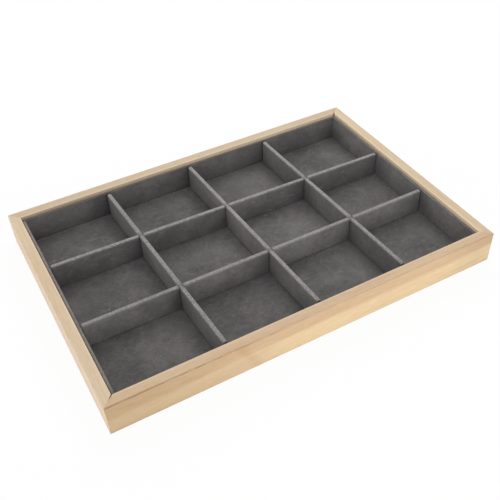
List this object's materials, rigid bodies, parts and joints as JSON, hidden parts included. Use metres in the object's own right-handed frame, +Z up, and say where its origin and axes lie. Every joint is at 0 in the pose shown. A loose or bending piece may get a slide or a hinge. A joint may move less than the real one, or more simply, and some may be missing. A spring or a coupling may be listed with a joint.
{
  "type": "jewelry display tray",
  "caption": "Flat open wooden tray with a grey suede-lined drop-in insert and a lift-out lattice of slotted dividers that forms a grid of compartments.",
  "frame": {"origin": "middle of the flat underside", "axes": "+X along the tray's length, -Y towards the front, +Z up out of the open top"},
  "size_m": [0.35, 0.24, 0.03],
  "materials": {
    "rail_wood": "pale, fine straight grain, clear matt finish",
    "base_panel_board": "plain thin panel board",
    "steel": "plain wire and strip",
    "greyboard": "dense greyboard",
    "suede": "dark grey microfibre suede with brushed nap"
  },
  "bodies": {
    "frame": {"frame_rail_front": "rail_wood", "frame_rail_right": "rail_wood", "frame_rail_back": "rail_wood", "frame_rail_left": "rail_wood", "base_panel": "base_panel_board", "base_panel_brads": "steel", "mitre_v_nails": "steel"},
    "insert": {"insert_floor_board": "greyboard", "insert_floor_suede": "suede", "insert_wall_front_board": "greyboard", "insert_wall_front_suede": "suede", "insert_wall_right_board": "greyboard", "insert_wall_right_suede": "suede", "insert_wall_back_board": "greyboard", "insert_wall_back_suede": "suede", "insert_wall_left_board": "greyboard", "insert_wall_left_suede": "suede"},
    "long_dividers": {"long_divider_front_board": "greyboard", "long_divider_front_suede": "suede", "long_divider_back_board": "greyboard", "long_divider_back_suede": "suede"},
    "short_divider_1": {"short_divider_1_board": "greyboard", "short_divider_1_suede": "suede"},
    "short_divider_2": {"short_divider_2_board": "greyboard", "short_divider_2_suede": "suede"},
    "short_divider_3": {"short_divider_3_board": "greyboard", "short_divider_3_suede": "suede"}
  },
  "joints": [
    {"name": "insert_lift", "type": "slide", "parent": "frame", "child": "insert", "axis": [0, 0, 1], "range_m": [0, 0.035]},
    {"name": "long_dividers_lift", "type": "slide", "parent": "insert", "child": "long_dividers", "axis": [0, 0, 1], "range_m": [0, 0.035]},
    {"name": "short_divider_1_lift", "type": "slide", "parent": "long_dividers", "child": "short_divider_1", "axis": [0, 0, 1], "range_m": [0, 0.03]},
    {"name": "short_divider_2_lift", "type": "slide", "parent": "long_dividers", "child": "short_divider_2", "axis": [0, 0, 1], "range_m": [0, 0.03]},
    {"name": "short_divider_3_lift", "type": "slide", "parent": "long_dividers", "child": "short_divider_3", "axis": [0, 0, 1], "range_m": [0, 0.03]}
  ]
}
